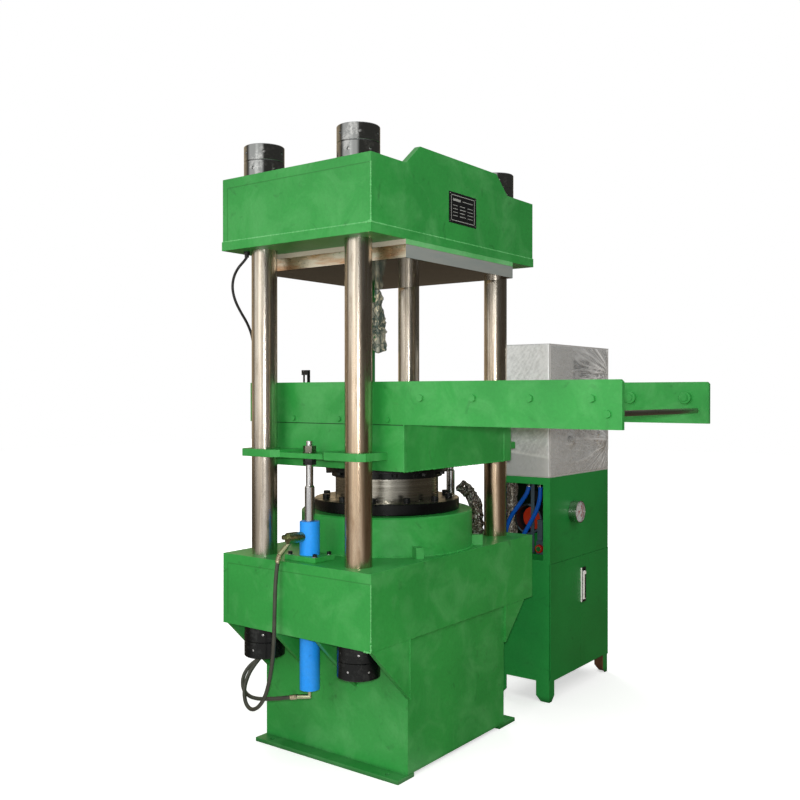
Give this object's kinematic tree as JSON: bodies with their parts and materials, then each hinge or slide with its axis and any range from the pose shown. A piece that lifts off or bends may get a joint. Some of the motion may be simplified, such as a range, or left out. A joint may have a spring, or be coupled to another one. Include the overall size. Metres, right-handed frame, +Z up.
{
  "type": "rubber mould vulcanizing press",
  "caption": "Four-column hydraulic press that cures rubber moulds between two heated plates, with slide-out mould rails, a power unit and an electrical cabinet.",
  "frame": {"origin": "on the floor under the ram's axis, in the middle of the four anchor holes", "axes": "+Z up along the ram; the operator stands at -Y, where the mould rails stick out; +X towards the power unit"},
  "size_m": [2.0617, 1.718, 2.492],
  "materials": {
    "enamel": "gloss green enamel over welded plate",
    "enamel_dark": "gloss green enamel on sheet metal",
    "column_steel": "ground and polished",
    "ram_steel": "turned, with fine rings",
    "heating_plate": "milled steel with grey primer on its front edge",
    "black_oxide": "blackened steel",
    "bronze": "machined bronze",
    "seal_rubber": "moulded",
    "hose_rubber": "wrapped hydraulic hose",
    "cable_rubber": "smooth cable sheath",
    "blue_hose": "smooth blue hose",
    "blue_enamel": "gloss blue enamel",
    "chrome_rod": "hard chrome plated",
    "zinc": "yellow zinc plated",
    "board": "pressed insulation board",
    "foil": "crumpled foil and film wrap",
    "grey_enamel": "light grey powder coat",
    "motor_paint": "dark grey enamel",
    "fan_orange": "moulded",
    "red_plastic": "moulded",
    "dark_plastic": "moulded",
    "gauge_metal": "plated case with a pale dial",
    "pointer": "painted sheet",
    "lens": "clear",
    "latch_metal": "plated zinc casting",
    "nameplate": "anodised sheet, blank"
  },
  "bodies": {
    "press_frame": {"base_frame": "enamel", "lower_beam": "enamel", "upper_beam": "enamel", "columns": "column_steel", "column_nuts": "black_oxide", "main_cylinder": "enamel", "gland_ring": "black_oxide", "gland_seal": "seal_rubber", "frame_bolts": "black_oxide", "upper_insulation": "board", "upper_heating_plate": "heating_plate", "side_cylinders": "blue_enamel", "hose_fittings": "zinc", "hose_upper": "hose_rubber", "hose_lower": "hose_rubber", "heater_cable": "cable_rubber", "nameplate": "nameplate", "limit_switch_post": "enamel_dark", "limit_switch": "foil", "feed_pipes": "foil", "unit_frame": "enamel_dark", "unit_panels": "enamel_dark", "pressure_gauge": "gauge_metal", "gauge_lens": "lens", "oil_tank": "enamel_dark", "pump_motor": "motor_paint", "unit_hose_supply": "blue_hose", "unit_hose_return": "blue_hose", "cabinet_shell": "grey_enamel"},
    "platen": {"ram": "ram_steel", "ram_head_flange": "black_oxide", "moving_platen": "enamel", "lower_insulation": "board", "lower_heating_plate": "heating_plate", "rails": "enamel", "platen_bolts": "black_oxide", "roller_axles": "enamel", "cross_rod": "chrome_rod", "trip_dog": "black_oxide", "ear_plates": "enamel", "guide_bushes": "bronze", "side_rods": "chrome_rod"},
    "roller_body_left_1": {"roller_left_1": "enamel"},
    "roller_body_left_2": {"roller_left_2": "enamel"},
    "roller_body_left_3": {"roller_left_3": "enamel"},
    "roller_body_left_4": {"roller_left_4": "enamel"},
    "roller_body_right_1": {"roller_right_1": "enamel"},
    "roller_body_right_2": {"roller_right_2": "enamel"},
    "roller_body_right_3": {"roller_right_3": "enamel"},
    "roller_body_right_4": {"roller_right_4": "enamel"},
    "unit_left_door": {"unit_door_left": "enamel_dark"},
    "unit_right_door": {"unit_door_right": "enamel_dark"},
    "latch": {"door_latch": "latch_metal"},
    "pointer": {"gauge_pointer": "pointer"},
    "fan": {"motor_fan": "fan_orange"},
    "knob": {"valve_knob": "red_plastic"},
    "cabinet_door_body": {"cabinet_door": "grey_enamel", "operator_screen": "dark_plastic"},
    "selector": {"selector_knob": "dark_plastic"},
    "estop": {"estop_button": "red_plastic"}
  },
  "joints": [
    {"name": "platen_lift", "type": "slide", "parent": "press_frame", "child": "platen", "axis": [0, 0, 1], "range_m": [-0.06, 0.485]},
    {"name": "roller_left_1_spin", "type": "hinge", "parent": "platen", "child": "roller_body_left_1", "pos_m": [-0.3935, -0.482, 1.467], "axis": [1, 0, 0], "continuous": true},
    {"name": "roller_left_2_spin", "type": "hinge", "parent": "platen", "child": "roller_body_left_2", "pos_m": [-0.3935, -0.712, 1.467], "axis": [1, 0, 0], "continuous": true},
    {"name": "roller_left_3_spin", "type": "hinge", "parent": "platen", "child": "roller_body_left_3", "pos_m": [-0.3935, -0.942, 1.467], "axis": [1, 0, 0], "continuous": true},
    {"name": "roller_left_4_spin", "type": "hinge", "parent": "platen", "child": "roller_body_left_4", "pos_m": [-0.3935, -1.172, 1.467], "axis": [1, 0, 0], "continuous": true},
    {"name": "roller_right_1_spin", "type": "hinge", "parent": "platen", "child": "roller_body_right_1", "pos_m": [0.3935, -0.496, 1.467], "axis": [1, 0, 0], "continuous": true},
    {"name": "roller_right_2_spin", "type": "hinge", "parent": "platen", "child": "roller_body_right_2", "pos_m": [0.3935, -0.726, 1.467], "axis": [1, 0, 0], "continuous": true},
    {"name": "roller_right_3_spin", "type": "hinge", "parent": "platen", "child": "roller_body_right_3", "pos_m": [0.3935, -0.956, 1.467], "axis": [1, 0, 0], "continuous": true},
    {"name": "roller_right_4_spin", "type": "hinge", "parent": "platen", "child": "roller_body_right_4", "pos_m": [0.3935, -1.186, 1.467], "axis": [1, 0, 0], "continuous": true},
    {"name": "unit_left_door_hinge", "type": "hinge", "parent": "press_frame", "child": "unit_left_door", "pos_m": [0.7705, -0.3942, 0.38], "axis": [0, 0, -1], "range_deg": [0, 110]},
    {"name": "unit_right_door_hinge", "type": "hinge", "parent": "press_frame", "child": "unit_right_door", "pos_m": [1.4155, -0.3942, 0.38], "axis": [0, 0, 1], "range_deg": [0, 110]},
    {"name": "latch_turn", "type": "hinge", "parent": "unit_right_door", "child": "latch", "pos_m": [1.118, -0.394, 0.574], "axis": [0, 1, 0], "range_deg": [0, 60]},
    {"name": "gauge_pointer_turn", "type": "hinge", "parent": "press_frame", "child": "pointer", "pos_m": [1.01, -0.43, 0.897], "axis": [0, 1, 0], "range_deg": [0, 270]},
    {"name": "motor_spin", "type": "hinge", "parent": "press_frame", "child": "fan", "pos_m": [0.9, -0.228, 0.862], "axis": [1, 0, 0], "continuous": true},
    {"name": "valve_knob_turn", "type": "hinge", "parent": "press_frame", "child": "knob", "pos_m": [0.8, -0.32, 0.73], "axis": [1, 0, 0], "range_deg": [0, 340]},
    {"name": "cabinet_door_hinge", "type": "hinge", "parent": "press_frame", "child": "cabinet_door_body", "pos_m": [1.4155, -0.3942, 1.4], "axis": [0, 0, 1], "range_deg": [0, 110]},
    {"name": "selector_turn", "type": "hinge", "parent": "cabinet_door_body", "child": "selector", "pos_m": [0.964, -0.394, 1.258], "axis": [0, 1, 0], "range_deg": [-45, 45]},
    {"name": "estop_push", "type": "slide", "parent": "cabinet_door_body", "child": "estop", "axis": [0, 1, 0], "range_m": [0, 0.006], "stiffness_N_per_m": 900}
  ]
}
